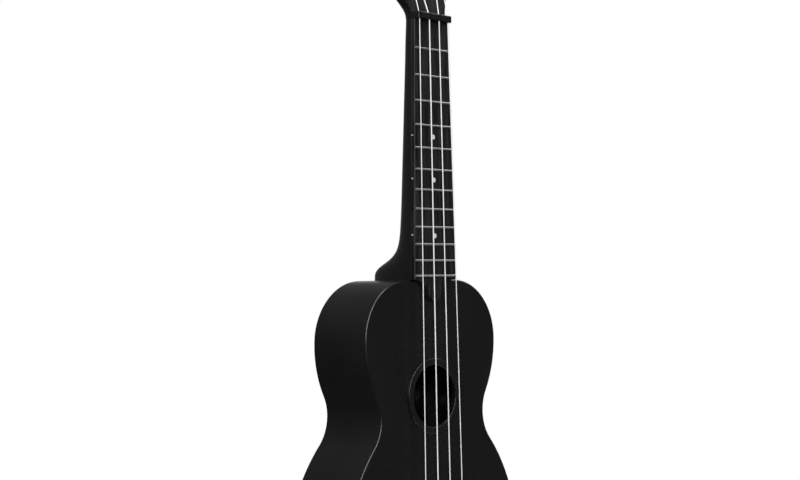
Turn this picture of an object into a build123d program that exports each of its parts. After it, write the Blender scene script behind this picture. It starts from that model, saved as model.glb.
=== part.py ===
from build123d import *

import os
from math import asin, atan2, cos, degrees, hypot, pi, radians, sin, sqrt, tan

# Soprano ukulele in millimetres. X runs to the right as seen from the front, Y runs from the
# strings to the back, Z runs up the neck. The origin is the middle of the nut's lower front
# edge, on the face of the fretboard.

# Scale and strings
scale_length = 346.0
saddle_setback = 2.0
string_spread_nut = 29.0
string_spread_saddle = 37.0
string_height_nut = 2.9
string_height_saddle = 4.8
g_string_gauge = 0.66
c_string_gauge = 0.86
e_string_gauge = 0.76
a_string_gauge = 0.64
string_seat_gap = 0.04
nut_bend_radius = 3.0
winding_half_turns = 5
winding_gap = 0.5
winding_clearance = 0.3
string_tail = 2.2
knot_radius = 1.35

# Fretboard, frets and nut
fret_count = 12
nut_width = 33.0
board_width_joint = 40.8
board_thickness = 3.4
board_edge_break = 0.45
board_end_shoulder = 10.4
board_end_point = 4.6
board_end_step = 5.5
board_shoulder_bulge = 2.9
board_point_hollow = 0.8
fret_crown_width = 1.4
fret_crown_height = 0.7
fret_tang_width = 0.5
fret_tang_depth = 1.5
fret_slot_clearance = 0.05
fret_end_inset = 0.3
fret_end_bevel = 0.6
dot_fret_counts = (5, 7, 10)
dot_diameter = 3.4
side_dot_diameter = 1.9
side_dot_setback = 2.2
dot_depth = 1.2
nut_thickness = 4.6
nut_height = 4.2
nut_edge_round = 0.9
slot_side_clearance = 0.12

# Body
body_drop = 2.6
body_length = 240.0
upper_bout_width = 128.4
waist_width = 101.8
lower_bout_width = 171.4
shoulder_radius = 40.4
waist_drop = 91.5954
waist_radius = 28.7826
lower_bout_rise = 55.1
tail_corner_radius = 46.0
body_depth_neck = 47.5
body_depth_tail = 60.0
plate_thickness = 2.0
rib_thickness = 1.8
body_edge_round = 1.5
sound_hole_drop = 78.6
sound_hole_radius = 20.8
ring_width = 4.7
ring_height = 1.1
ring_edge_round = 0.5
ring_collar = 1.2

# Inside the body
lining_width = 4.5
lining_height = 6.0
head_block_width = 42.0
head_block_height = 18.0
tail_block_width = 44.0
tail_block_height = 12.0
brace_width = 6.0
brace_height = 8.0
brace_end_height = 3.0
brace_scoop = 22.0
brace_offset = 36.0
back_brace_upper_drop = 55.0
back_brace_lower_drop = 170.0
patch_width = 96.0
patch_height = 24.0
patch_thickness = 2.0
dowel_diameter = 10.0
dowel_in_block = 16.0
dowel_in_heel = 14.0
dowel_depth = 22.0

# Neck, heel and headstock
neck_depth_nut = 12.0
neck_depth_joint = 22.6
heel_length = 38.0
heel_depth = 45.6
shaft_rounding = 0.94
heel_rounding = 0.7
head_angle = 15.0
head_step = 2.6
head_length = 112.0
head_thickness = 9.5
head_flare_length = 34.0
head_width_low = 51.0
head_width_top = 55.0
head_crown = 5.0
head_corner_radius = 6.0
head_edge_round = 2.0
head_root_length = 22.0
heel_half_rise = 13.4
heel_steepness = 4
heel_stations = (0.0, 0.1, 0.2, 0.28, 0.35, 0.42, 0.52, 0.65, 0.8, 1.0)
shaft_stations = (0.62, 0.45, 0.28, 0.12, 0.04, 0.0)
root_stations = (0.18, 0.4, 0.7, 1.0)
blade_station = 0.7

# Bridge and saddle
bridge_width = 80.0
bridge_height = 21.0
bridge_thickness = 6.0
bridge_wing_thickness = 3.0
bridge_block_width = 50.0
bridge_wing_sweep = 8.0
bridge_corner_radius = 4.0
bridge_edge_round = 0.8
saddle_to_front = 7.0
saddle_thickness = 2.8
saddle_length = 43.0
saddle_depth = 3.6
saddle_end_round = 1.35
saddle_crown_round = 1.35
string_slot_floor = 3.2
string_slot_length = 10.0

# Tuning machines
low_post_x = 18.6
low_post_v = 40.0
high_post_x = 19.6
high_post_v = 80.0
post_diameter = 6.0
post_waist_diameter = 5.2
post_height = 10.6
post_waist_start = 1.9
post_waist_end = 9.0
post_hole_diameter = 1.5
post_hole_height = 8.0
post_tip_round = 0.75
running_clearance = 0.05
bushing_diameter = 8.4
bushing_length = 5.0
bushing_flange_diameter = 10.4
bushing_flange = 1.2
bushing_edge_round = 0.6
plate_width = 13.0
plate_gauge = 1.2
plate_screw_up = 8.6
plate_screw_down = 13.4
plate_end_margin = 3.4
plate_corner_radius = 3.0
tooth_count = 14
gear_module = 0.6
gear_face = 2.4
gear_bore = 3.4
worm_pitch_radius = 2.4
worm_length = 7.0
worm_side_play = 0.12
tooth_addendum = 0.5
tooth_dedendum = 0.62
worm_tooth = 0.74
gear_tooth = 0.74
flank_angle = 24.0
flank_steps = 4
worm_floor_gap = 0.3
ear_gauge = 1.2
ear_width = 6.4
shaft_diameter = 3.0
shaft_inner_overhang = 0.8
button_start = 9.4
button_length = 13.0
button_width = 15.0
button_thickness = 6.2
button_edge_round = 2.4
button_stem_diameter = 5.0
button_stem_length = 3.0
button_bore_depth = 8.0
gear_screw_head = 5.4
gear_screw_head_height = 1.5
gear_screw_shank = 2.0
gear_screw_depth = 6.0
gear_screw_slot = 0.7
plate_screw_head = 4.2
plate_screw_head_height = 1.3
plate_screw_shank = 2.0
plate_screw_length = 6.5
plate_screw_slot = 0.6
pan_head_round = 0.6

# Places worked out from the sizes above
joint_z = -scale_length * (1 - 2 ** (-fret_count / 12))
body_top = joint_z - body_drop
body_tail = body_top - body_length
lower_bout_drop = body_length - lower_bout_rise
soundboard_face = board_thickness
soundboard_rear = soundboard_face + plate_thickness
saddle_z = -(scale_length + saddle_setback)
sound_hole_z = body_top - sound_hole_drop
string_gauges = {"g": g_string_gauge, "c": c_string_gauge, "e": e_string_gauge, "a": a_string_gauge}
string_order = ("g", "c", "e", "a")
far = 2 * body_length
head_tilt = radians(head_angle)
head_up = Vector(0, sin(head_tilt), cos(head_tilt))
head_front = Vector(0, -cos(head_tilt), sin(head_tilt))
head_root = Vector(0, head_step, nut_thickness)


def fret_z(number):
    """Height of a fret below the nut, by equal temperament."""
    return -scale_length * (1 - 2 ** (-number / 12))


def board_half_width(z):
    """Half width of the fretboard and of the neck under it."""
    return (nut_width + (board_width_joint - nut_width) * z / joint_z) / 2


def smooth_step(t):
    """Ease from 0 to 1."""
    t = min(max(t, 0.0), 1.0)
    return t * t * (3 - 2 * t)


def slab(face, y_front, y_rear):
    """Extrude an upright outline, drawn in X and Z, between two depths."""
    return extrude(Plane.XZ.offset(-y_rear) * face, amount=y_rear - y_front)


def side_slab(points, half_width):
    """Extrude a side profile, drawn in Y and Z, to both sides of the centre line."""
    profile = make_face(Polyline(*points, close=True))
    return extrude(Plane.YZ * profile, amount=half_width, both=True)


def back_depth(z, inset=0.0):
    """Y of the tilted back at a height, moved forward by an inset."""
    slope = (body_depth_tail - body_depth_neck) / body_length
    return soundboard_face + body_depth_neck + slope * (body_top - z) - inset * hypot(1, slope)


def depth_band(y_front, inset):
    """Everything between an upright plane and the tilted back moved in by an inset."""
    low = body_tail - far
    high = body_top + far / 4
    points = [(y_front, high), (back_depth(high, inset), high)]
    points += [(back_depth(low, inset), low), (y_front, low)]
    return side_slab(points, lower_bout_width)


def flank_radius(bout_width, rise):
    """Radius of the arc that touches the side of a bout and the waist circle, a height away."""
    step = (bout_width - waist_width) / 2
    return (step + rise**2 / step) / 2 - waist_radius


def body_outline(inset=0.0):
    """Closed face of the body outline, made of tangent arcs and moved in by an inset."""
    upper_z = body_top - shoulder_radius
    waist_z = body_top - waist_drop
    lower_z = body_top - lower_bout_drop
    upper_flank_radius = flank_radius(upper_bout_width, upper_z - waist_z)
    lower_flank_radius = flank_radius(lower_bout_width, lower_z - waist_z)
    shoulder_x = upper_bout_width / 2 - shoulder_radius
    upper_x = upper_bout_width / 2 - upper_flank_radius
    waist_x = waist_width / 2 + waist_radius
    lower_x = lower_bout_width / 2 - lower_flank_radius
    corner_x = lower_bout_width / 2 - tail_corner_radius

    # The tail arc is centred on the body and touches the corner circle from outside.
    tail_radius = corner_x**2 + lower_bout_rise**2 - tail_corner_radius**2
    tail_radius /= 2 * (lower_bout_rise - tail_corner_radius)
    tail_z = body_tail + tail_radius

    to_upper = degrees(atan2(upper_z - waist_z, upper_x - waist_x))
    to_lower = degrees(atan2(lower_z - waist_z, lower_x - waist_x)) + 360
    corner_angle = degrees(atan2(lower_z - tail_z, corner_x))
    half = [
        Line((0, body_top - inset), (shoulder_x, body_top - inset)),
        CenterArc((shoulder_x, upper_z), shoulder_radius - inset, 0, 90),
        CenterArc((upper_x, upper_z), upper_flank_radius - inset, to_upper - 180, 180 - to_upper),
        CenterArc((waist_x, waist_z), waist_radius + inset, to_upper, to_lower - to_upper),
        CenterArc((lower_x, lower_z), lower_flank_radius - inset, 0, to_lower - 180),
        CenterArc((corner_x, lower_z), tail_corner_radius - inset, corner_angle, -corner_angle),
        CenterArc((0, tail_z), tail_radius - inset, -90, corner_angle + 90),
    ]
    return make_face(half + [mirror(edge, about=Plane.YZ) for edge in half])


# Body shell


def make_soundboard():
    """Front plate with its rounded edge and the hole for the ring's collar."""
    plate = slab(body_outline(), soundboard_face, soundboard_rear)
    plate = fillet(plate.faces().sort_by(Axis.Y)[0].edges(), body_edge_round)
    hole = slab(Pos(0, sound_hole_z) * Circle(sound_hole_radius + ring_collar), 0, far)
    return plate - hole


def make_sound_hole_ring():
    """Raised ring that lies on the soundboard, with a collar through its hole."""
    flange = Pos(sound_hole_radius, 0) * Rectangle(ring_width, ring_height, align=(Align.MIN, Align.MIN))
    flange = fillet(flange.vertices().group_by(Axis.Y)[-1], ring_edge_round)
    collar = Pos(sound_hole_radius, -plate_thickness) * Rectangle(
        ring_collar, plate_thickness, align=(Align.MIN, Align.MIN)
    )
    axis_plane = Plane((0, soundboard_face, sound_hole_z), x_dir=(1, 0, 0), z_dir=(0, 0, 1))
    profile = axis_plane * mirror(flange + collar, about=Plane.XZ)
    return revolve(profile, Axis((0, 0, sound_hole_z), (0, 1, 0)))


def make_ribs():
    """The bent sides: a left and a right half that meet at the neck and at the tail."""
    wall = slab(body_outline() - body_outline(rib_thickness), soundboard_rear, far)
    wall = wall & depth_band(soundboard_rear, plate_thickness)
    wall -= dowel_bore()
    half = Box(far, far, 2 * far, align=(Align.MAX, Align.CENTER, Align.CENTER))
    return wall & half, wall - half


def make_back():
    """Flat back plate, tilted so that the body is deeper at the tail."""
    plate = slab(body_outline(), soundboard_rear, far) & depth_band(soundboard_rear, 0)
    plate -= depth_band(0, plate_thickness)
    outer_face = plate.faces().sort_by(SortBy.AREA)[-2:].sort_by(Axis.Y)[-1]
    return fillet(outer_face.edges(), body_edge_round)


def dowel_bore():
    """Space of the round dowel that pins the heel to the head block."""
    length = dowel_in_block + dowel_in_heel + rib_thickness
    middle = (0, soundboard_face + dowel_depth, body_top + dowel_in_heel - length / 2)
    return Pos(*middle) * Cylinder(dowel_diameter / 2, length)


# Inside the body


def inside(inset, y_front, y_inset):
    """Space inside the ribs, moved in by an inset, from a depth to the back's inner face."""
    return slab(body_outline(inset), y_front, far) & depth_band(y_front, plate_thickness + y_inset)


def block_space(width, z_low, z_high):
    """Upright column inside the body that a block fills from soundboard to back."""
    column = Box(width, far, z_high - z_low, align=(Align.CENTER, Align.CENTER, Align.MIN))
    return Pos(0, 0, z_low) * column


def head_block_space():
    """Column of the block behind the heel."""
    return block_space(head_block_width, body_top - rib_thickness - head_block_height, body_top)


def tail_block_space():
    """Column of the block at the tail seam."""
    return block_space(tail_block_width, body_tail, body_tail + rib_thickness + tail_block_height)


def make_lining(at_back):
    """Glue strips in the corner of the ribs, a left and a right one, between the blocks."""
    strip = inside(rib_thickness, soundboard_rear, 0) - inside(rib_thickness + lining_width, 0, 0)
    if at_back:
        strip -= depth_band(0, plate_thickness + lining_height)
    else:
        strip &= slab(body_outline(), soundboard_rear, soundboard_rear + lining_height)
    return strip - head_block_space() - tail_block_space()


def brace_profile(half_length):
    """Side view of a brace: full height in the middle, scooped down to thin ends."""
    arch = Polyline(
        (-half_length, 0),
        (half_length, 0),
        (half_length, brace_end_height),
        (half_length - brace_scoop, brace_height),
        (brace_scoop - half_length, brace_height),
        (-half_length, brace_end_height),
        close=True,
    )
    return make_face(arch)


def brace_room():
    """Space for the braces, inside ribs and linings."""
    return slab(body_outline(rib_thickness + lining_width), 0, far)


def brace_half_length(z):
    """Half length of a brace before its ends are trimmed to the linings."""
    outline = body_outline(rib_thickness + lining_width)
    strip = outline & (Pos(0, z) * Rectangle(far, brace_width))
    return strip.bounding_box().max.X


def make_top_brace(z):
    """Cross brace glued under the soundboard."""
    plane = Plane((0, soundboard_rear, z), x_dir=(1, 0, 0), z_dir=(0, 0, 1))
    bar = extrude(plane * brace_profile(brace_half_length(z)), amount=brace_width / 2, both=True)
    return bar & brace_room()


def make_back_brace(z):
    """Cross brace glued on the inside of the tilted back."""
    slope = (body_depth_tail - body_depth_neck) / body_length
    seat = (0, back_depth(z, plate_thickness), z)
    plane = Plane(seat, x_dir=(1, 0, 0), z_dir=(0, slope, -1))
    bar = extrude(plane * brace_profile(brace_half_length(z)), amount=brace_width / 2, both=True)
    return bar & brace_room()


def make_bridge_patch():
    """Thin hardwood plate under the soundboard that carries the bridge."""
    plate = RectangleRounded(patch_width, patch_height, bridge_corner_radius)
    middle = saddle_z + saddle_to_front - bridge_height / 2
    return slab(Pos(0, middle) * plate, soundboard_rear, soundboard_rear + patch_thickness)


# Fretboard, frets and nut


def make_fretboard():
    """Flat board with its pointed end, fret slots and dot holes."""
    corner = (board_half_width(body_top), body_top)
    shoulder = (board_end_step, body_top - board_end_shoulder)
    tip = (0, body_top - board_end_shoulder - board_end_point)
    half = [
        Line((0, 0), (nut_width / 2, 0)),
        Line((nut_width / 2, 0), corner),
        SagittaArc(corner, shoulder, -board_shoulder_bulge),
        SagittaArc(shoulder, tip, board_point_hollow),
    ]
    outline = make_face(half + [mirror(edge, about=Plane.YZ) for edge in half])
    board = slab(outline, 0, board_thickness)
    rim = board.faces().sort_by(Axis.Y)[0].edges().sort_by(Axis.Z)[:-2]
    board = chamfer(rim, board_edge_break)
    slot_width = fret_tang_width + 2 * fret_slot_clearance
    for number in range(1, fret_count + 1):
        slot = Pos(0, fret_z(number)) * Rectangle(far, slot_width)
        board -= slab(slot, -far, fret_tang_depth + fret_slot_clearance)
    return board - make_position_dots() - make_side_dots()


def make_frets():
    """Twelve crowned frets with tangs and bevelled ends."""
    crown = make_face(
        [
            ThreePointArc((-fret_crown_width / 2, 0), (0, fret_crown_height), (fret_crown_width / 2, 0)),
            Line((fret_crown_width / 2, 0), (-fret_crown_width / 2, 0)),
        ]
    )
    tang = Pos(0, -fret_tang_depth / 2) * Rectangle(fret_tang_width, fret_tang_depth)
    frets = []
    for number in range(1, fret_count + 1):
        z = fret_z(number)
        half = board_half_width(z) - fret_end_inset
        wire_plane = Plane((0, 0, z), x_dir=(0, 0, 1), z_dir=(1, 0, 0))
        wire = extrude(wire_plane * (crown + tang), amount=half, both=True)
        ends = make_face(
            Polyline(
                (half, fret_tang_depth),
                (half, 0),
                (half - fret_end_bevel, -fret_crown_height),
                (fret_end_bevel - half, -fret_crown_height),
                (-half, 0),
                (-half, fret_tang_depth),
                close=True,
            )
        )
        frets.append(wire & extrude(Pos(0, 0, z) * ends, amount=fret_crown_width, both=True))
    return Compound(children=frets)


def make_position_dots():
    """Round inlays in the face of the board."""
    dots = []
    for number in dot_fret_counts:
        z = (fret_z(number - 1) + fret_z(number)) / 2
        dots.append(slab(Pos(0, z) * Circle(dot_diameter / 2), 0, dot_depth))
    return Compound(children=dots)


def make_side_dots():
    """Small inlays in the edge of the board that the player looks down on."""
    dots = []
    for number in dot_fret_counts:
        z = (fret_z(number - 1) + fret_z(number)) / 2
        edge = Plane((-board_half_width(z), side_dot_setback, z), x_dir=(0, 0, 1), z_dir=(1, 0, 0))
        plug = extrude(edge * Circle(side_dot_diameter / 2), amount=dot_depth, both=True)
        cut = slab(Pos(0, z) * Rectangle(2 * board_half_width(z), far), 0, board_thickness)
        dots.append(plug & cut)
    return Compound(children=dots)


def string_x(index, spread):
    """Place of a string across the neck, counted from the left."""
    return spread * (index / (len(string_order) - 1) - 0.5)


def make_nut():
    """Slotted bar at the end of the fretboard."""
    profile = Pos(0, nut_thickness / 2) * Rectangle(nut_width, nut_thickness)
    bar = slab(profile, -nut_height, board_thickness)
    bar = fillet(bar.faces().sort_by(Axis.Y)[0].edges(), nut_edge_round)
    for index, name in enumerate(string_order):
        gauge = string_gauges[name]
        floor = gauge / 2 + string_seat_gap - string_height_nut
        fall = tan(head_tilt) * nut_thickness
        width = gauge / 2 + slot_side_clearance
        lower = [(floor, -nut_thickness), (floor, 0), (-far, 0), (-far, -nut_thickness)]
        upper = [(floor, -gauge), (floor, 0), (floor + fall, nut_thickness)]
        upper += [(-far, nut_thickness), (-far, -gauge)]
        heading = last_run(name)[0]
        turn = degrees(atan2(heading.X, heading.Z))
        notch = side_slab(lower, width) + Rot(0, turn, 0) * side_slab(upper, width)
        bar -= Pos(string_x(index, string_spread_nut), 0, nut_thickness / 2) * notch
    return bar


# Neck


def head_point(x, v, w):
    """Point of the headstock: across, along from the nut, and out of its face."""
    return head_root + Vector(x, 0, 0) + head_up * v + head_front * w


def head_half_width(v):
    """Half width of the headstock at a distance from the nut."""
    low, top = head_width_low / 2, head_width_top / 2
    if v < head_flare_length:
        return nut_width / 2 + (low - nut_width / 2) * sin(pi / 2 * max(v, 0) / head_flare_length)
    return low + (top - low) * (v - head_flare_length) / (head_length - head_flare_length)


def neck_section(plane, half_width, depth, round_x, round_y, lip):
    """Section of the neck: flat front that stands proud by a lip, back corners as ellipses."""
    side = depth - round_y
    flat = half_width - round_x
    edges = [
        Line((-half_width, -lip), (half_width, -lip)),
        Line((half_width, -lip), (half_width, side)),
        EllipticalCenterArc((flat, side), round_x, round_y, 0, arc_size=90),
        Line((flat, depth), (-flat, depth)),
        EllipticalCenterArc((-flat, side), round_x, round_y, 90, arc_size=90),
        Line((-half_width, side), (-half_width, -lip)),
    ]
    return plane * make_face(edges)


def shaft_section(z, lip):
    """Section of the shaft or the heel at a height."""
    rise = 1 / (1 + (max(z - body_top, 0) / heel_half_rise) ** heel_steepness)
    depth = neck_depth_nut + (neck_depth_joint - neck_depth_nut) * z / body_top
    depth += (heel_depth - neck_depth_joint) * rise
    share = shaft_rounding + (heel_rounding - shaft_rounding) * rise
    half = board_half_width(z)
    plane = Plane((0, soundboard_face, z), x_dir=(1, 0, 0), z_dir=(0, 0, 1))
    return neck_section(plane, half, depth, share * half, share * depth, lip)


def head_section(v, lip):
    """Section of the headstock, which turns from rounded to square over its root."""
    turn = smooth_step(v / head_root_length)
    start = (soundboard_face + neck_depth_nut - head_step) * cos(head_tilt)
    depth = start + (head_thickness - start) * turn
    half = head_half_width(v)
    round_x = shaft_rounding * half * (1 - turn) + head_edge_round * turn
    round_y = shaft_rounding * depth * (1 - turn) + head_edge_round * turn
    plane = Plane(head_point(0, v, 0), x_dir=(1, 0, 0), z_dir=head_up)
    return neck_section(plane, half, depth, round_x, round_y, lip)


def make_neck():
    """Shaft, heel and tilted headstock carved from one piece, drilled for the machines."""
    lip = board_thickness
    heel = [body_top + heel_length * share for share in heel_stations]
    shaft = [body_top * share for share in shaft_stations]
    root = [head_root_length * share for share in root_stations]
    sections = [shaft_section(z, lip) for z in heel + shaft]
    shaft_and_root = loft(sections + [head_section(v, lip) for v in root]).faces().sort_by(Axis.Z)

    # The blade of the headstock starts on the last section of the root and is sewn to it there.
    blade = [head_root_length, head_flare_length, head_length * blade_station, head_length + head_crown]
    blade = loft([head_section(v, lip) for v in blade]).faces().sort_by(Axis.Z)
    neck = Solid(Shell(shaft_and_root[:-1] + blade[1:]))

    # Flat seats: the fretboard, the nut and the face of the headstock.
    neck -= slab(Rectangle(far, 2 * far, align=(Align.CENTER, Align.MAX)), -far, soundboard_face)
    neck -= slab(Pos(0, nut_thickness / 2) * Rectangle(far, nut_thickness), -far, soundboard_face)
    face_plane = Plane(head_root, x_dir=(1, 0, 0), z_dir=head_front)
    neck -= extrude(face_plane * Rectangle(far, far), amount=far) & block_space(far, nut_thickness, far)

    # The crown: a low arch across the top of the headstock with rounded corners.
    half, middle, shoulder = head_width_top / 2, head_length / 2, head_length - head_crown
    crown = make_face(
        [
            Line((-half, middle), (half, middle)),
            Line((half, middle), (half, shoulder)),
            ThreePointArc((half, shoulder), (0, head_length), (-half, shoulder)),
            Line((-half, shoulder), (-half, middle)),
        ]
    )
    crown = fillet(crown.vertices().group_by(Axis.Y)[-1], head_corner_radius)
    above = Pos(0, middle) * Rectangle(far, far, align=(Align.CENTER, Align.MIN)) - crown
    neck -= extrude(face_plane * above, amount=far, both=True)

    for name in string_order:
        neck -= tuner_bores(name)
    return neck - dowel_bore()


# Tuning machines. Each is drawn in its own frame: the origin on the post's axis at the back of
# the headstock, X outwards to the button, Y towards the nut, Z out of the back.


def tuner_plane(name):
    """Frame of a machine on the left or the right half of the headstock."""
    index = string_order.index(name)
    side = -1 if index < 2 else 1
    inner = index in (1, 2)
    x, v = (high_post_x, high_post_v) if inner else (low_post_x, low_post_v)
    back = head_point(side * x, v, -head_thickness)
    return Plane(back, x_dir=(side, 0, 0), z_dir=-head_front)


def place(name, shape):
    """Move a machine's piece from its own frame to the headstock, mirrored on the left half."""
    if string_order.index(name) < 2:
        shape = mirror(shape, about=Plane.XZ)
    return tuner_plane(name) * shape


lead = pi * gear_module
gear_pitch_radius = gear_module * tooth_count / 2
axle_y = gear_pitch_radius + worm_pitch_radius
worm_tip_radius = worm_pitch_radius + tooth_addendum
worm_root_radius = worm_pitch_radius - tooth_dedendum
axle_z = plate_gauge + worm_floor_gap + worm_tip_radius
ear_inner = worm_length / 2 + worm_side_play
gear_start = axle_z - gear_face / 2


def cylinder_between(radius, z_low, z_high):
    """Upright cylinder on the post's axis."""
    return Pos(0, 0, (z_low + z_high) / 2) * Cylinder(radius, z_high - z_low)


def axle(radius, x_low, x_high):
    """Cylinder on the worm's axis."""
    plane = Plane((x_low, axle_y, axle_z), x_dir=(0, 1, 0), z_dir=(1, 0, 0))
    return extrude(plane * Circle(radius), amount=x_high - x_low)


def screw_places():
    """Places of the two plate screws in the machine's frame."""
    return ((0, -plate_screw_up), (0, plate_screw_down))


def tuner_bores(name):
    """Holes in the headstock for the post, its bushing and the plate screws."""
    front = -head_thickness - bushing_flange
    bores = cylinder_between(bushing_diameter / 2, front, bushing_length - head_thickness)
    bores += cylinder_between(post_diameter / 2 + running_clearance, -head_thickness, plate_gauge)
    depth = plate_gauge - plate_screw_length
    for x, y in screw_places():
        bores += Pos(x, y) * cylinder_between(plate_screw_shank / 2, depth, plate_gauge)
    return place(name, bores)


def make_plate():
    """Stamped base plate with two folded ears that carry the worm."""
    low = -plate_screw_up - plate_end_margin
    high = plate_screw_down + plate_end_margin
    sheet = Pos(0, (low + high) / 2) * RectangleRounded(plate_width, high - low, plate_corner_radius)
    sheet -= Circle(post_diameter / 2 + running_clearance)
    for x, y in screw_places():
        sheet -= Pos(x, y) * Circle(plate_screw_shank / 2)
    plate = extrude(sheet, amount=plate_gauge)
    top = axle_z + ear_width / 2
    ear = Pos(axle_y, 0) * Rectangle(ear_width, top, align=(Align.CENTER, Align.MIN))
    ear = fillet(ear.vertices().group_by(Axis.Y)[-1], ear_width / 2 - plate_gauge)
    ear -= Pos(axle_y, axle_z) * Circle(shaft_diameter / 2 + running_clearance)
    for start in (ear_inner, -ear_inner - ear_gauge):
        plane = Plane((start, 0, 0), x_dir=(0, 1, 0), z_dir=(1, 0, 0))
        plate += extrude(plane * ear, amount=ear_gauge)
    return plate


def make_worm():
    """Single-start worm with its collars and the shaft that carries the button."""
    tip_half = worm_tooth / 2 - tooth_addendum * tan(radians(flank_angle))
    root_half = worm_tooth / 2 + tooth_dedendum * tan(radians(flank_angle))
    tip_turn = 360 * tip_half / lead
    root_turn = 360 * root_half / lead
    flank = []
    for step in range(flank_steps + 1):
        share = step / flank_steps
        turn = radians(tip_turn + (root_turn - tip_turn) * share)
        radius = worm_tip_radius + (worm_root_radius - worm_tip_radius) * share
        flank.append((radius * cos(turn), radius * sin(turn)))
    edges = [
        CenterArc((0, 0), worm_tip_radius, -tip_turn, 2 * tip_turn),
        Spline(*flank),
        CenterArc((0, 0), worm_root_radius, root_turn, 360 - 2 * root_turn),
        Spline(*[(x, -y) for x, y in flank]),
    ]
    section = make_face(edges).face()
    turns = 360 * worm_length / lead
    thread = Solid.extrude_linear_with_rotation(section, (0, 0, 0), (0, 0, worm_length), turns)
    start = Plane((-worm_length / 2, axle_y, axle_z), x_dir=(0, 0, 1), z_dir=(1, 0, 0))
    mesh_turn = 90 - turns / 2
    worm = start * Rot(0, 0, mesh_turn) * thread
    inner_end = -ear_inner - ear_gauge - shaft_inner_overhang
    return worm + axle(shaft_diameter / 2, inner_end, button_start + button_bore_depth)


def make_button():
    """Oval thumb button pressed on the shaft."""
    middle = button_start + button_stem_length + button_length / 2
    paddle = extrude(Ellipse(button_length / 2, button_width / 2), amount=button_thickness)
    paddle = fillet(paddle.edges().filter_by(GeomType.ELLIPSE), button_edge_round)
    button = Pos(middle, axle_y, axle_z - button_thickness / 2) * paddle
    stem_end = button_start + button_stem_length + button_edge_round
    button += axle(button_stem_diameter / 2, button_start, stem_end)
    return button - axle(shaft_diameter / 2, 0, button_start + button_bore_depth)


def make_gear():
    """Worm wheel with slanted teeth on a hub."""
    tip = gear_pitch_radius + tooth_addendum
    root = gear_pitch_radius - tooth_dedendum
    tip_half = gear_tooth / 2 - tooth_addendum * tan(radians(flank_angle))
    root_half = gear_tooth / 2 + tooth_dedendum * tan(radians(flank_angle))
    base = sqrt(root**2 - root_half**2) - tooth_dedendum / 2
    tooth = make_face(
        Polyline((-root_half, base), (root_half, base), (tip_half, tip), (-tip_half, tip), close=True)
    )
    slant = degrees(asin(gear_face / 2 * lead / (2 * pi * worm_pitch_radius) / gear_pitch_radius))
    gear = cylinder_between(root, gear_start, gear_start + gear_face)
    for number in range(tooth_count):
        turn = 360 * (number + 0.5) / tooth_count
        low = Pos(0, 0, gear_start) * Rot(0, 0, turn - slant) * tooth
        high = Pos(0, 0, gear_start + gear_face) * Rot(0, 0, turn + slant) * tooth
        gear += loft([low, high], ruled=True)
    return gear - cylinder_between(gear_bore / 2, 0, far)


def make_post():
    """Turned post: journal in the headstock, waist for the string, spigot for the gear."""
    face = -head_thickness
    outline = Polyline(
        (0, gear_start + gear_face),
        (gear_bore / 2, gear_start + gear_face),
        (gear_bore / 2, gear_start),
        (post_diameter / 2, gear_start),
        (post_diameter / 2, face - post_waist_start),
        (post_waist_diameter / 2, face - post_waist_start - (post_diameter - post_waist_diameter) / 2),
        (post_waist_diameter / 2, face - post_waist_end),
        (post_diameter / 2, face - post_waist_end - (post_diameter - post_waist_diameter) / 2),
        (post_diameter / 2, face - post_height),
        (0, face - post_height),
        close=True,
    )
    post = revolve(Plane.XZ * make_face(outline), Axis.Z)
    post = fillet(post.edges().sort_by(Axis.Z)[0], post_tip_round)
    hole = Pos(0, 0, face - post_hole_height) * Rot(90, 0, 0) * Cylinder(post_hole_diameter / 2, far)
    tap = cylinder_between(gear_screw_shank / 2, gear_start + gear_face - gear_screw_depth, far)
    return post - hole - tap


def make_bushing():
    """Pressed ferrule round the post in the face of the headstock."""
    face = -head_thickness
    bushing = cylinder_between(bushing_diameter / 2, face, face + bushing_length)
    flange = cylinder_between(bushing_flange_diameter / 2, face - bushing_flange, face)
    bushing += fillet(flange.edges().sort_by(Axis.Z)[0], bushing_edge_round)
    return bushing - cylinder_between(post_diameter / 2 + running_clearance, -far, far)


def pan_head(radius, height, slot):
    """Domed screw head that sits on Z = 0, with a driver slot."""
    head = cylinder_between(radius, 0, height)
    head = fillet(head.edges().sort_by(Axis.Z)[-1], height * pan_head_round)
    return head - Pos(0, 0, height) * Box(far, slot, height)


def make_gear_screw():
    """Screw that holds the gear on the post."""
    seat = gear_start + gear_face
    head = Pos(0, 0, seat) * pan_head(gear_screw_head / 2, gear_screw_head_height, gear_screw_slot)
    return head + cylinder_between(gear_screw_shank / 2, seat - gear_screw_depth, seat)


def make_plate_screws(name):
    """Two small wood screws that hold a base plate."""
    screws = []
    for x, y in screw_places():
        head = pan_head(plate_screw_head / 2, plate_screw_head_height, plate_screw_slot)
        head = Pos(0, 0, plate_gauge) * head
        shank = cylinder_between(plate_screw_shank / 2, plate_gauge - plate_screw_length, plate_gauge)
        screws.append(place(name, Pos(x, y) * (head + shank)))
    return screws


# Bridge, saddle and strings


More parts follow.
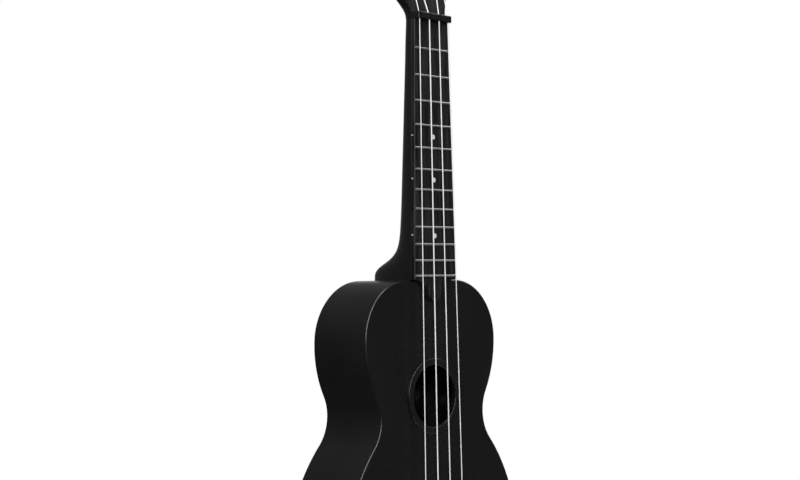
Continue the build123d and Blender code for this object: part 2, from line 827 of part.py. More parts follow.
def make_bridge():
    """Glued bridge: a raised block with the saddle, thin wings and a slot for each knot."""
    top = bridge_thickness
    wing = bridge_wing_thickness
    inner = bridge_block_width / 2
    outer = inner + bridge_wing_sweep
    end = bridge_width / 2
    half = [
        Line((0, top), (inner, top)),
        TangentArc((inner, top), ((inner + outer) / 2, (top + wing) / 2), tangent=(1, 0)),
        TangentArc((outer, wing), ((inner + outer) / 2, (top + wing) / 2), tangent=(-1, 0)),
        Line((outer, wing), (end, wing)),
        Line((end, wing), (end, 0)),
        Line((end, 0), (0, 0)),
    ]
    profile = make_face(half + [mirror(edge, about=Plane.YZ) for edge in half])
    front = saddle_z + saddle_to_front
    plane = Plane((0, soundboard_face, front), x_dir=(1, 0, 0), z_dir=(0, 0, -1))
    bridge = extrude(plane * profile, amount=bridge_height)
    ends = bridge.edges().filter_by(Axis.Y).group_by(SortBy.LENGTH)[0]
    bridge = fillet(ends, bridge_corner_radius)
    bridge = fillet(bridge.faces().sort_by(Axis.Y)[0].edges(), bridge_edge_round)
    bridge -= slab(saddle_face(), -far, soundboard_face - top + saddle_depth)
    for index, name in enumerate(string_order):
        width = string_gauges[name] + 2 * slot_side_clearance
        slot = Pos(0, front - bridge_height) * Rectangle(width, 2 * string_slot_length)
        slot = slab(slot, -far, soundboard_face - string_slot_floor)
        bridge -= Pos(string_x(index, string_spread_saddle), 0, 0) * slot
    return bridge


def saddle_face():
    """Outline of the saddle, seen from the front."""
    return Pos(0, saddle_z) * RectangleRounded(saddle_length, saddle_thickness, saddle_end_round)


def saddle_crown():
    """Y of the saddle's crown, under the thickest string."""
    return -string_height_saddle + max(string_gauges.values()) / 2 + string_seat_gap


def make_saddle():
    """Bar that carries the strings on the bridge."""
    saddle = slab(saddle_face(), saddle_crown(), soundboard_face - bridge_thickness + saddle_depth)
    return fillet(saddle.faces().sort_by(Axis.Y)[0].edges(), saddle_crown_round)


def head_coordinates(point):
    """Across, along and height of a point in the headstock's own frame."""
    offset = point - head_root
    return offset.X, offset.dot(head_up), offset.dot(head_front)


def winding_radius(name):
    """Radius of the middle of the string round its post."""
    return post_waist_diameter / 2 + winding_clearance + string_gauges[name] / 2


def nut_point(name):
    """Place of a string where it bends over the nut."""
    x = string_x(string_order.index(name), string_spread_nut)
    return Vector(x, -string_height_nut, nut_thickness / 2)


def last_run(name):
    """Heading of a string past the nut, and where it touches its winding, level with the face."""
    post_x, post_v, _ = head_coordinates(tuner_plane(name).origin)
    nut_x, nut_v, height = head_coordinates(nut_point(name))
    radius = winding_radius(name)
    distance = hypot(post_x - nut_x, post_v - nut_v)
    side = 1 if post_x > 0 else -1
    bearing = atan2(post_v - nut_v, post_x - nut_x) + side * asin(radius / distance)
    run = sqrt(distance**2 - radius**2)
    heading = Vector(cos(bearing), 0, 0) + head_up * sin(bearing)
    touch = head_point(nut_x + run * cos(bearing), nut_v + run * sin(bearing), height)
    return heading, touch, head_point(post_x, post_v, height)


def saddle_bend(name, knot):
    """Corner of a string over the saddle, and the radius at which it goes round the crown."""
    radius = saddle_crown_round + string_seat_gap + string_gauges[name] / 2
    middle = Vector(knot.X, saddle_crown() + saddle_crown_round, saddle_z)
    nut = nut_point(name)
    knot_reach = hypot(middle.Y - knot.Y, middle.Z - knot.Z)
    nut_reach = hypot(middle.Y - nut.Y, middle.Z - nut.Z)
    rise = atan2(knot.Y - middle.Y, middle.Z - knot.Z) + asin(radius / knot_reach)
    fall = atan2(nut.Y - middle.Y, nut.Z - middle.Z) + asin(radius / nut_reach)
    low = Vector(0, -cos(rise), -sin(rise))
    high = Vector(0, -cos(fall), sin(fall))
    return middle + (low + high) * (radius / (1 + low.dot(high))), radius


def string_path(name):
    """Route of a string from its knot over saddle and nut to the winding on its post."""
    gauge = string_gauges[name]
    at_saddle = string_x(string_order.index(name), string_spread_saddle)
    rear = saddle_z + saddle_to_front - bridge_height
    knot_y = soundboard_face - string_slot_floor - gauge / 2 - slot_side_clearance
    knot = Vector(at_saddle, knot_y, rear - knot_radius)
    saddle, saddle_radius = saddle_bend(name, knot)
    heading, touch, centre = last_run(name)
    radii = [saddle_radius, nut_bend_radius]
    runs = FilletPolyline(knot, saddle, nut_point(name), touch, radius=radii)

    # Each half turn is half a circle tilted by its share of the climb.
    climb = head_front * ((gauge + winding_gap) / 2)
    arcs = []
    start = touch
    for turn in range(winding_half_turns):
        across = centre + centre - touch if turn % 2 == 0 else touch
        end = across + climb * (turn + 1)
        forward = heading if turn % 2 == 0 else -heading
        crest = (start + end) * 0.5 + forward * ((end - start).length / 2)
        arcs.append(ThreePointArc(start, crest, end))
        start = end
    last = heading if winding_half_turns % 2 == 0 else -heading
    tail = Line(start, start + last * string_tail)
    return Wire(runs.edges() + arcs + [tail]), arcs


def make_string(name):
    """Nylon string with its knot behind the bridge and its winding on the post."""
    gauge = string_gauges[name]
    path, arcs = string_path(name)
    section = Plane(path @ 0, z_dir=path % 0) * Circle(gauge / 2)
    string = sweep(section, path=path)
    print(f"string {name}: length {path.length:.1f}, winding gap {winding_self_gap(arcs, gauge):.2f}")
    return string + Pos(*(path @ 0)) * Sphere(knot_radius)


def winding_self_gap(arcs, gauge):
    """Least gap between turns of a winding, measured on points half a turn or more apart."""
    steps = 24
    points = [arc @ (step / steps) for arc in arcs for step in range(steps)]
    gaps = [
        (first - second).length
        for number, first in enumerate(points)
        for second in points[number + steps :]
    ]
    return min(gaps) - gauge


def build():
    """Make every piece and give it its name."""
    rib_left, rib_right = make_ribs()
    head_block = inside(rib_thickness, soundboard_rear, 0) & head_block_space()
    parts = {
        "soundboard": make_soundboard(),
        "sound_hole_ring": make_sound_hole_ring(),
        "rib_left": rib_left,
        "rib_right": rib_right,
        "back": make_back(),
        "head_block": head_block - dowel_bore(),
        "tail_block": inside(rib_thickness, soundboard_rear, 0) & tail_block_space(),
        "lining_top": make_lining(at_back=False),
        "lining_back": make_lining(at_back=True),
        "top_brace_upper": make_top_brace(sound_hole_z + brace_offset),
        "top_brace_lower": make_top_brace(sound_hole_z - brace_offset),
        "bridge_patch": make_bridge_patch(),
        "back_brace_upper": make_back_brace(body_top - back_brace_upper_drop),
        "back_brace_lower": make_back_brace(body_top - back_brace_lower_drop),
        "neck": make_neck(),
        "neck_dowel": dowel_bore(),
        "fretboard": make_fretboard(),
        "frets": make_frets(),
        "nut": make_nut(),
        "position_dots": make_position_dots(),
        "side_dots": make_side_dots(),
        "bridge": make_bridge(),
        "saddle": make_saddle(),
    }
    screws = []
    for name in string_order:
        parts[f"string_{name}"] = make_string(name)
        parts[f"tuner_{name}_plate"] = place(name, make_plate())
        parts[f"tuner_{name}_worm"] = place(name, make_worm())
        parts[f"tuner_{name}_button"] = place(name, make_button())
        parts[f"tuner_{name}_gear"] = place(name, make_gear())
        parts[f"tuner_{name}_gear_screw"] = place(name, make_gear_screw())
        parts[f"tuner_{name}_post"] = place(name, make_post())
        parts[f"tuner_{name}_bushing"] = place(name, make_bushing())
        screws += make_plate_screws(name)
    parts["plate_screws"] = Compound(children=screws)
    return parts


if __name__ == "__main__":
    os.makedirs("parts", exist_ok=True)
    for node, shape in build().items():
        export_step(shape, f"parts/{node}.step")
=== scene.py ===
import math

import bpy
from mathutils import Matrix, Vector


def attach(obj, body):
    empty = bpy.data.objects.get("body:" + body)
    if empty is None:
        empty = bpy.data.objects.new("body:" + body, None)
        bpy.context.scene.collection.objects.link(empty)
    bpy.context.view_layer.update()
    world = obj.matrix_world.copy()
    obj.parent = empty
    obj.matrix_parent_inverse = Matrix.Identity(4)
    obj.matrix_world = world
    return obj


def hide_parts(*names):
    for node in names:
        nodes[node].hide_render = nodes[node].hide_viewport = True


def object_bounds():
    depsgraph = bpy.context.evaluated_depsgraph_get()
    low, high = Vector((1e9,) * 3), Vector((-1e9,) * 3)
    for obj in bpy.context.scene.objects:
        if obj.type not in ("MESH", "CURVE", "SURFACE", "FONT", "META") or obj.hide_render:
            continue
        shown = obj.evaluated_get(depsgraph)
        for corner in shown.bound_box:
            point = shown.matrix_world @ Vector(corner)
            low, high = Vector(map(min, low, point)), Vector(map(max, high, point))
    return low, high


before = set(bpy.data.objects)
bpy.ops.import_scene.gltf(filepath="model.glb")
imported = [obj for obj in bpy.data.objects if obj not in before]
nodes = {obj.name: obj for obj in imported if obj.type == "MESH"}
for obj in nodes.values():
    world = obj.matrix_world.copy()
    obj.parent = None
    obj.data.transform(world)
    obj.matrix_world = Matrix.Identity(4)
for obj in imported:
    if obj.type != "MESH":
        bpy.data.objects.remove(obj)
cad_low, cad_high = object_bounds()
bpy.context.scene.view_settings.view_transform = "Standard"
bpy.ops.object.select_all(action="DESELECT")


# Body shell: soundboard, two bent ribs and a flat back, glued up from thin laminated wood.
# The outside is sprayed with black polyurethane lacquer and rubbed to a satin, which leaves a
# faint orange peel and gives wide, soft highlights on the rounded edges.


def linear(colour):
    """Linear shader colour of an sRGB hex value."""
    shares = [int(colour[place : place + 2], 16) / 255 for place in (1, 3, 5)]
    return [c / 12.92 if c <= 0.04045 else ((c + 0.055) / 1.055) ** 2.4 for c in shares] + [1.0]


def add_node(tree, kind, inputs=(), stops=(), **settings):
    """Add a shader node, set its properties and colour stops, and fill or link its sockets."""
    made = tree.nodes.new("ShaderNode" + kind)
    for name, value in settings.items():
        setattr(made, name, value)
    for element, (position, colour) in zip(made.color_ramp.elements if stops else (), stops):
        element.position = position
        element.color = linear(colour)
    for name, value in dict(inputs).items():
        if isinstance(value, bpy.types.NodeSocket):
            tree.links.new(value, made.inputs[name])
        else:
            made.inputs[name].default_value = value
    return made


def new_finish(name, sockets):
    """Start a material, set the sockets that are the same all over, and read Object coordinates."""
    material = bpy.data.materials.new(name)
    material.use_nodes = True
    tree = material.node_tree
    shader = tree.nodes["Principled BSDF"]
    for socket, value in sockets.items():
        shader.inputs[socket].default_value = value
    return material, tree, shader, add_node(tree, "TexCoord").outputs["Object"]


def wire_up(tree, shader, links):
    """Link outputs to the shader's sockets."""
    for socket, output in links.items():
        tree.links.new(output, shader.inputs[socket])


def dress(material, *names):
    """Give a finish to pieces of the frame."""
    for name in names:
        for slot in nodes[name].material_slots:
            slot.material = material


# Satin lacquer: nearly black, a little cloudy over 40 mm, with an orange peel of about 1.2 mm.
satin_lacquer, tree, shader, place = new_finish("satin_black_lacquer", {"Specular IOR Level": 0.5})
cloud = add_node(tree, "TexNoise", {"Vector": place, "Scale": 1 / 0.040, "Detail": 3.0})
rubbing = add_node(tree, "TexNoise", {"Vector": place, "Scale": 1 / 0.006, "Detail": 4.0})
sheen = add_node(tree, "MapRange", {"Value": rubbing.outputs["Fac"], "To Min": 0.22, "To Max": 0.34})
peel = add_node(tree, "TexNoise", {"Vector": place, "Scale": 1 / 0.0012, "Detail": 1.0})
skin = add_node(tree, "Bump", {"Height": peel.outputs["Fac"], "Strength": 0.2, "Distance": 0.00002})
tone = add_node(tree, "ValToRGB", {"Fac": cloud.outputs["Fac"]}, ((0.35, "#09090a"), (0.65, "#0f0f10")))
wire_up(tree, shader, {
    "Base Color": tone.outputs["Color"],
    "Roughness": sheen.outputs["Result"],
    "Normal": skin.outputs["Normal"],
})
dress(satin_lacquer, "soundboard", "rib_left", "rib_right", "back")


# Inside the body: end blocks, lining strips, cross braces, the plate under the bridge and the
# dowel of the neck. They are sawn from softwood and maple, glued in bare and sprayed over with
# thin black stain, so the grain still shows.
stained_softwood, tree, shader, place = new_finish("stained_softwood", {"Specular IOR Level": 0.25})
fibres = add_node(tree, "Mapping", {"Vector": place, "Scale": (1 / 0.030, 1 / 0.0015, 1 / 0.0015)})
grain = add_node(tree, "TexNoise", {"Vector": fibres.outputs["Vector"], "Scale": 1.0, "Detail": 5.0})
ridges = add_node(tree, "Bump", {"Height": grain.outputs["Fac"], "Strength": 0.5, "Distance": 0.00006})
dry = add_node(tree, "MapRange", {"Value": grain.outputs["Fac"], "To Min": 0.6, "To Max": 0.85})
tone = add_node(tree, "ValToRGB", {"Fac": grain.outputs["Fac"]}, ((0.35, "#131110"), (0.65, "#27231f")))
wire_up(tree, shader, {
    "Base Color": tone.outputs["Color"],
    "Roughness": dry.outputs["Result"],
    "Normal": ridges.outputs["Normal"],
})
dress(
    stained_softwood,
    "head_block",
    "tail_block",
    "lining_top",
    "lining_back",
    "top_brace_upper",
    "top_brace_lower",
    "bridge_patch",
    "back_brace_upper",
    "back_brace_lower",
    "neck_dowel",
)


# Ring round the sound hole: moulded black ABS, pressed into the hole with its collar. The mould
# was polished, so it has a tighter highlight than the lacquer round it.
moulded_ring, tree, shader, place = new_finish("moulded_black_abs", {"Specular IOR Level": 0.5})
flow = add_node(tree, "TexNoise", {"Vector": place, "Scale": 1 / 0.008, "Detail": 2.0})
gloss = add_node(tree, "MapRange", {"Value": flow.outputs["Fac"], "To Min": 0.2, "To Max": 0.3})
ripple = add_node(tree, "Bump", {"Height": flow.outputs["Fac"], "Strength": 0.2, "Distance": 0.0001})
tone = add_node(tree, "ValToRGB", {"Fac": flow.outputs["Fac"]}, ((0.35, "#0d0d0e"), (0.65, "#131314")))
wire_up(tree, shader, {
    "Base Color": tone.outputs["Color"],
    "Roughness": gloss.outputs["Result"],
    "Normal": ripple.outputs["Normal"],
})
dress(moulded_ring, "sound_hole_ring")


# Neck: shaft, heel and tilted headstock carved from one piece of hardwood, doweled and glued to
# the body, and sprayed with the same satin lacquer.
dress(satin_lacquer, "neck")


# Fretboard and bridge: open-pored hardwood stained black, oiled and left unlacquered. The pores
# are sunk along the board, and the grain runs as dark streaks in a dark grey face. The streaks are
# drawn 1.6 mm wide, because finer ones don't show in the render.
blackened_wood, tree, shader, place = new_finish("blackened_hardwood", {"Specular IOR Level": 0.25})
along = add_node(tree, "Mapping", {"Vector": place, "Scale": (1 / 0.0016, 1 / 0.0016, 1 / 0.05)})
streaks = add_node(tree, "TexNoise", {"Vector": along.outputs["Vector"], "Scale": 1.0, "Detail": 4.0})
pore_place = add_node(tree, "Mapping", {"Vector": place, "Scale": (1 / 0.0004, 1 / 0.0004, 1 / 0.005)})
pores = add_node(tree, "TexNoise", {"Vector": pore_place.outputs["Vector"], "Scale": 1.0, "Detail": 2.0})
sunk = add_node(tree, "Bump", {"Height": pores.outputs["Fac"], "Strength": 0.6, "Distance": 0.00008})
oiled = add_node(tree, "MapRange", {"Value": streaks.outputs["Fac"], "To Min": 0.42, "To Max": 0.62})
tone = add_node(tree, "ValToRGB", {"Fac": streaks.outputs["Fac"]}, ((0.4, "#050505"), (0.62, "#292829")))
wire_up(tree, shader, {
    "Base Color": tone.outputs["Color"],
    "Roughness": oiled.outputs["Result"],
    "Normal": sunk.outputs["Normal"],
})
dress(blackened_wood, "fretboard", "bridge")


# Frets: drawn nickel-silver wire, hammered into sawn slots and dressed to a satin crown, with fine
# scratches along each wire. The filed ends are painted dark grey, a painted shade that keeps the left lamp
# from glinting in their bevels.
nut_width, joint_width, joint_drop = 0.0330, 0.0408, 0.1730
shaded_end_reach = 0.0009
shade_blend = 0.0002
nickel_silver, tree, shader, place = new_finish("satin_nickel_silver", {"Metallic": 1.0})
drawn = add_node(tree, "Mapping", {"Vector": place, "Scale": (1 / 0.004, 1 / 0.0002, 1 / 0.0002)})
scratches = add_node(tree, "TexNoise", {"Vector": drawn.outputs["Vector"], "Scale": 1.0, "Detail": 3.0})
dressed = add_node(tree, "MapRange", {"Value": scratches.outputs["Fac"], "To Min": 0.38, "To Max": 0.52})
tone = add_node(tree, "ValToRGB", {"Fac": scratches.outputs["Fac"]}, ((0.35, "#c4c4c2"), (0.65, "#dededc")))

board_taper = (joint_width - nut_width) / 2 / joint_drop
axes = add_node(tree, "SeparateXYZ", {"Vector": place})
aside = add_node(tree, "Math", {0: axes.outputs["X"]}, operation="ABSOLUTE")
squared = {0: axes.outputs["Z"], 1: board_taper, 2: aside.outputs["Value"]}
reach = add_node(tree, "Math", squared, operation="MULTIPLY_ADD")
shade_from = nut_width / 2 - shaded_end_reach
# Mask of the fret ends near the edges of the board, where the painted shade goes.
filed = add_node(
    tree,
    "MapRange",
    {"Value": reach.outputs["Value"], "From Min": shade_from - shade_blend, "From Max": shade_from},
)

# Sockets 6 and 7 of a colour Mix are its two colours, and its output 2 is the mixed one.
# The ends are mixed to dark grey: painted shade over the bevels, not a stain.
shade_mix = {0: filed.outputs["Result"], 6: tone.outputs["Color"], 7: linear("#454544")}
shaded_ends_colour = add_node(tree, "Mix", shade_mix, data_type="RGBA")
wire_up(tree, shader, {
    "Base Color": shaded_ends_colour.outputs[2],
    "Roughness": dressed.outputs["Result"],
})
dress(nickel_silver, "frets")


# Position and side dots: rods of acrylic, white in the face and grey in the edge of the board,
# glued into drilled holes and sanded flush. The plastic is a little milky.
for finish, dots, stops in (
    ("white_acrylic", "position_dots", ((0.35, "#e4e4e1"), (0.65, "#f6f6f4"))),
    ("grey_acrylic", "side_dots", ((0.35, "#aeaeab"), (0.65, "#c0c0bd"))),
):
    acrylic, tree, shader, place = new_finish(finish, {"Roughness": 0.3})
    milky = add_node(tree, "TexNoise", {"Vector": place, "Scale": 1 / 0.002, "Detail": 2.0})
    tone = add_node(tree, "ValToRGB", {"Fac": milky.outputs["Fac"]}, stops)
    wire_up(tree, shader, {"Base Color": tone.outputs["Color"]})
    dress(acrylic, dots)


# Nut and saddle: moulded black plastic bars, the nut glued against the end of the fretboard and
# the saddle dropped into its slot, with crowns that were filed and buffed.
buffed_plastic, tree, shader, place = new_finish("buffed_black_plastic", {"Specular IOR Level": 0.35})
filed = add_node(tree, "Mapping", {"Vector": place, "Scale": (1 / 0.006, 1 / 0.0003, 1 / 0.0003)})
marks = add_node(tree, "TexNoise", {"Vector": filed.outputs["Vector"], "Scale": 1.0, "Detail": 3.0})
buff = add_node(tree, "MapRange", {"Value": marks.outputs["Fac"], "To Min": 0.3, "To Max": 0.46})
lines = add_node(tree, "Bump", {"Height": marks.outputs["Fac"], "Strength": 0.3, "Distance": 0.00002})
tone = add_node(tree, "ValToRGB", {"Fac": marks.outputs["Fac"]}, ((0.35, "#0d0d0e"), (0.65, "#141415")))
wire_up(tree, shader, {
    "Base Color": tone.outputs["Color"],
    "Roughness": buff.outputs["Result"],
    "Normal": lines.outputs["Normal"],
})
dress(buffed_plastic, "nut", "saddle")


# Tuning machines, plates and posts: stamped plate with folded ears, turned post, pressed bushing
# and worm, all steel with a bright nickel plating over fine machining marks.
string_names = ("g", "c", "e", "a")
nickel_plating, tree, shader, place = new_finish("nickel_plated_steel", {"Metallic": 1.0})
turned = add_node(tree, "TexNoise", {"Vector": place, "Scale": 1 / 0.0007, "Detail": 4.0})
bright = add_node(tree, "MapRange", {"Value": turned.outputs["Fac"], "To Min": 0.14, "To Max": 0.3})
tone = add_node(tree, "ValToRGB", {"Fac": turned.outputs["Fac"]}, ((0.35, "#c6c4bf"), (0.65, "#dad8d2")))
wire_up(tree, shader, {
    "Base Color": tone.outputs["Color"],
    "Roughness": bright.outputs["Result"],
})
for name in string_names:
    dress(nickel_plating, *[f"tuner_{name}_{piece}" for piece in ("plate", "post", "bushing", "worm")])

# Gears: hobbed from brass bar and left bare, each on the spigot of its post, held by a screw.
# The flanks of the teeth are bright and the faces a bit dull.
hobbed_brass, tree, shader, place = new_finish("hobbed_brass", {"Metallic": 1.0})
dull = add_node(tree, "TexNoise", {"Vector": place, "Scale": 1 / 0.0015, "Detail": 4.0})
worn = add_node(tree, "MapRange", {"Value": dull.outputs["Fac"], "To Min": 0.25, "To Max": 0.45})
tone = add_node(tree, "ValToRGB", {"Fac": dull.outputs["Fac"]}, ((0.35, "#b08d48"), (0.65, "#cfae67")))
wire_up(tree, shader, {
    "Base Color": tone.outputs["Color"],
    "Roughness": worn.outputs["Result"],
})
for name in string_names:
    dress(hobbed_brass, f"tuner_{name}_gear")

# Screws: cold-headed steel with a zinc plating, a little greyer than the nickel. Two hold each
# plate on the headstock, and one holds each gear on its post.
zinc_plating, tree, shader, place = new_finish("zinc_plated_steel", {"Metallic": 1.0})
frost = add_node(tree, "TexNoise", {"Vector": place, "Scale": 1 / 0.0009, "Detail": 4.0})
satin = add_node(tree, "MapRange", {"Value": frost.outputs["Fac"], "To Min": 0.28, "To Max": 0.45})
tone = add_node(tree, "ValToRGB", {"Fac": frost.outputs["Fac"]}, ((0.35, "#a9abad"), (0.65, "#c5c7c9")))
wire_up(tree, shader, {
    "Base Color": tone.outputs["Color"],
    "Roughness": satin.outputs["Result"],
})
dress(zinc_plating, "plate_screws", *[f"tuner_{name}_gear_screw" for name in string_names])

# Buttons: oval knobs of moulded black plastic, pressed on the end of the worm's shaft. The mould
# was polished, so they are the glossiest black on the instrument.
glossy_plastic, tree, shader, place = new_finish("glossy_black_plastic", {"Specular IOR Level": 0.5})
sink = add_node(tree, "TexNoise", {"Vector": place, "Scale": 1 / 0.005, "Detail": 2.0})
shine = add_node(tree, "MapRange", {"Value": sink.outputs["Fac"], "To Min": 0.12, "To Max": 0.22})
wave = add_node(tree, "Bump", {"Height": sink.outputs["Fac"], "Strength": 0.2, "Distance": 0.0001})
tone = add_node(tree, "ValToRGB", {"Fac": sink.outputs["Fac"]}, ((0.35, "#0a0a0b"), (0.65, "#101011")))
wire_up(tree, shader, {
    "Base Color": tone.outputs["Color"],
    "Roughness": shine.outputs["Result"],
    "Normal": wave.outputs["Normal"],
})
dress(glossy_plastic, *[f"tuner_{name}_button" for name in string_names])


# Strings: white nylon, drawn to a different gauge for each note. Each is knotted behind the
# bridge, runs over saddle and nut and is wound two and a half turns on its post.
nylon, tree, shader, place = new_finish("white_nylon", {"Roughness": 0.3, "IOR": 1.53})
drawing = add_node(tree, "Mapping", {"Vector": place, "Scale": (1 / 0.0005, 1 / 0.0005, 1 / 0.008)})
haze = add_node(tree, "TexNoise", {"Vector": drawing.outputs["Vector"], "Scale": 1.0, "Detail": 2.0})
tone = add_node(tree, "ValToRGB", {"Fac": haze.outputs["Fac"]}, ((0.35, "#e6e6e4"), (0.65, "#f7f7f6")))
wire_up(tree, shader, {"Base Color": tone.outputs["Color"]})

across = Vector((1, 0, 0))
head_tilt = math.radians(15)
head_up = Vector((0, math.sin(head_tilt), math.cos(head_tilt)))
head_front = Vector((0, -math.cos(head_tilt), math.sin(head_tilt)))
saddle_spacing = 0.037 / 3
nut_spacing = 0.029 / 3
knot_drop = -0.36335
knot_seat = 0.00008
saddle_crown = Vector((0, -0.004371, -0.348198))
saddle_lean = Vector((0, -1, -0.14))
nut_seat = Vector((0, -0.0029, 0.0023))
bend_reach = 0.0012
winding_core = 0.0029
winding_step = math.radians(30)
winding_points = 31
winding_gap = 0.0005
trimmed_step = 1.2
knot_points = 18
knot_lobe = 0.42
knot_tail = 0.004
knot_tail_lift = 0.0008

# Rows are counted from the middle string gap, and posts lie aside from it and up the headstock.
strings = {
    "g": {"gauge": 0.00066, "row": -1.5, "post_aside": -0.0186, "post_rise": 0.043645},
    "c": {"gauge": 0.00086, "row": -0.5, "post_aside": -0.0196, "post_rise": 0.083645},
    "e": {"gauge": 0.00076, "row": 0.5, "post_aside": 0.0196, "post_rise": 0.083645},
    "a": {"gauge": 0.00064, "row": 1.5, "post_aside": 0.0186, "post_rise": 0.043645},
}


def add_spline(curve, points, cyclic):
    """Add a smooth spline with these control points."""
    spline = curve.splines.new("NURBS")
    spline.points.add(len(points) - 1)
    for target, point in zip(spline.points, points):
        target.co = (*point, 1)
    spline.order_u = 3
    spline.use_cyclic_u = cyclic
    spline.use_endpoint_u = not cyclic
    spline.resolution_u = 6


for name, measures in strings.items():
    gauge, row = measures["gauge"], measures["row"]
    knot = across * row * saddle_spacing + Vector((0, knot_seat - gauge / 2, knot_drop))
    saddle = across * row * saddle_spacing + saddle_crown + saddle_lean * gauge / 2
    nut = across * row * nut_spacing + nut_seat
    post = across * measures["post_aside"] + nut_seat + head_up * measures["post_rise"]

    # The string meets its winding at a tangent, on the side of the post towards the middle.
    lead = nut - post
    facing = head_front.cross(lead) * math.copysign(1, -row)
    winding_radius = winding_core + gauge / 2
    bite = math.acos(winding_radius / lead.length)
    outward = lead.normalized() * math.cos(bite) + facing.normalized() * math.sin(bite)
    touch = post + outward * winding_radius
    heading = (touch - nut).normalized()
    route = [knot]
    for before, corner, after in ((knot, saddle, nut), (saddle, nut, touch)):
        route.append(corner + (before - corner).normalized() * bend_reach)
        route.append(corner)
        route.append(corner + (after - corner).normalized() * bend_reach)
    corner_radius = winding_radius / math.cos(winding_step / 2)
    for count in range(winding_points):
        turn = winding_step * (count - 0.5)
        climb = head_front * ((gauge + winding_gap) * max(turn, 0) / math.tau)
        round_post = outward * math.cos(turn) + heading * math.sin(turn)
        route.append(post + round_post * corner_radius + climb)
    route.append(route[-1] + (route[-1] - route[-2]) * trimmed_step)

    # The knot: three crossing lobes drawn tight, with the cut end standing out below.
    pull = (saddle - knot).normalized()
    out = pull.cross(across)
    lobe = gauge * knot_lobe
    lobes = []
    for count in range(knot_points):
        turn = math.tau * count / knot_points
        x = math.sin(turn) + 2 * math.sin(2 * turn)
        y = math.cos(turn) - 2 * math.cos(2 * turn)
        lobes.append(knot + (across * x + out * y - pull * math.sin(3 * turn)) * lobe)
    tail = [knot, knot - pull * knot_tail / 2, knot - pull * knot_tail - out * knot_tail_lift]

    curve = bpy.data.curves.new(f"nylon_string_{name}", "CURVE")
    curve.dimensions = "3D"
    curve.bevel_depth = gauge / 2
    curve.bevel_resolution = 4
    curve.use_fill_caps = True
    add_spline(curve, route, False)
    add_spline(curve, lobes, True)
    add_spline(curve, tail, False)
    string = bpy.data.objects.new(f"nylon_string_{name}", curve)
    bpy.context.scene.collection.objects.link(string)
    bpy.context.view_layer.objects.active = string
    string.select_set(True)
    bpy.ops.object.convert(target="MESH")
    bpy.ops.object.shade_smooth()
    string.select_set(False)
    string.data.materials.append(nylon)
    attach(string, "instrument")
    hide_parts(f"string_{name}")


# Studio: a pale painted floor under the tail that fades out, and a dim room with a paler ceiling
# and a lit white backdrop behind the instrument. A tall soft box stands to the left, a small one
# hangs overhead and a wide weak one is at the right.
floor_radius = 0.22
floor_solid_radius = 0.1
floor_gap = 0.0005
floor_middle = Vector((0, 0, cad_low.z - floor_gap))
bpy.ops.mesh.primitive_circle_add(
    vertices=96, radius=floor_radius, fill_type="NGON", location=floor_middle
)
floor = bpy.context.object
floor.name = "floor"
bpy.ops.object.transform_apply()
painted_floor, tree, shader, place = new_finish("white_floor_paint", {"Roughness": 0.9})
shader.inputs["Base Color"].default_value = linear("#e2e2e2")
reach = add_node(tree, "VectorMath", {0: place, 1: floor_middle}, operation="DISTANCE")
fade = add_node(
    tree,
    "MapRange",
    {
        "Value": reach.outputs["Value"],
        "From Min": floor_solid_radius,
        "From Max": floor_radius,
        "To Min": 1.0,
        "To Max": 0.0,
    },
    interpolation_type="SMOOTHSTEP",
)
wire_up(tree, shader, {"Alpha": fade.outputs["Result"]})
floor.data.materials.append(painted_floor)

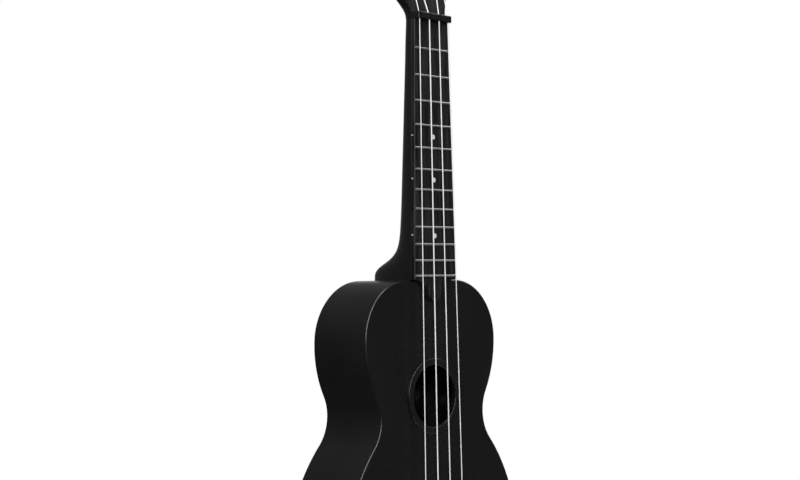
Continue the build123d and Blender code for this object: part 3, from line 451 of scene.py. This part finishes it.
# The room: white to the camera, and in reflections a white backdrop with a soft edge, 10 to 23
# degrees off its middle.
world = bpy.data.worlds.new("white_backdrop")
bpy.context.scene.world = world
world.use_nodes = True
tree = world.node_tree
rays = add_node(tree, "LightPath")
look = add_node(tree, "TexCoord").outputs["Generated"]
behind_instrument = (0.72, 0.69, 0)
away = add_node(tree, "VectorMath", {0: look, 1: behind_instrument}, operation="DOT_PRODUCT")
backdrop = add_node(
    tree,
    "MapRange",
    {"Value": away.outputs["Value"], "From Min": 0.92, "From Max": 0.985},
    interpolation_type="SMOOTHSTEP",
)
mirrored = {0: rays.outputs["Is Glossy Ray"], 1: backdrop.outputs["Result"]}
seen = add_node(tree, "Math", mirrored, operation="MULTIPLY")
for ray in ("Is Camera Ray", "Is Transmission Ray"):
    seen = add_node(tree, "Math", {0: seen.outputs[0], 1: rays.outputs[ray]}, operation="MAXIMUM")
height = add_node(tree, "SeparateXYZ", {"Vector": look}).outputs["Z"]
room = add_node(
    tree, "MapRange", {"Value": height, "From Min": -0.5, "From Max": 0.6, "To Min": 0.07, "To Max": 0.18}
)
level = add_node(
    tree, "MapRange", {"Value": seen.outputs[0], "To Min": room.outputs["Result"], "To Max": 1.0}
)
background = tree.nodes["Background"]
background.inputs["Color"].default_value = linear("#ffffff")
tree.links.new(level.outputs["Result"], background.inputs["Strength"])


def soft_light(name, place, aim, width, height, power):
    """Soft box that points at a place."""
    data = bpy.data.lights.new(name, "AREA")
    data.shape = "RECTANGLE"
    data.size = width
    data.size_y = height
    data.energy = power
    lamp = bpy.data.objects.new(name, data)
    bpy.context.scene.collection.objects.link(lamp)
    lamp.location = place
    lamp.rotation_mode = "QUATERNION"
    lamp.rotation_quaternion = (Vector(aim) - Vector(place)).to_track_quat("-Z", "Y")


body_middle = (0, 0.02, -0.25)
soft_light("left_light", (-0.76, -0.69, 0.43), body_middle, 0.4, 1.4, 17)
soft_light("top_light", (-0.1, -0.15, 1.0), body_middle, 0.5, 0.5, 6)
soft_light("right_light", (1.0, 0.15, 0.8), body_middle, 1.0, 1.0, 8)


# Camera: a long lens in front and to the left of the instrument, at about the height where the
# neck meets the body, tilted up a little.
photo_width, photo_focal = 800, 1610.7
camera_data = bpy.data.cameras.new("camera")
camera_data.sensor_width = 36.0
camera_data.lens = camera_data.sensor_width * photo_focal / photo_width
camera = bpy.data.objects.new("camera", camera_data)
bpy.context.scene.collection.objects.link(camera)
camera_place = Matrix.Translation((-0.80320, -0.73462, -0.18455))
camera_turn = Matrix.Rotation(math.radians(-46.311), 4, "Z")
camera_tilt = Matrix.Rotation(math.radians(90 + 1.898), 4, "X")
camera_roll = Matrix.Rotation(math.radians(-0.959), 4, "Z")
camera.matrix_world = camera_place @ camera_turn @ camera_tilt @ camera_roll
bpy.context.scene.camera = camera
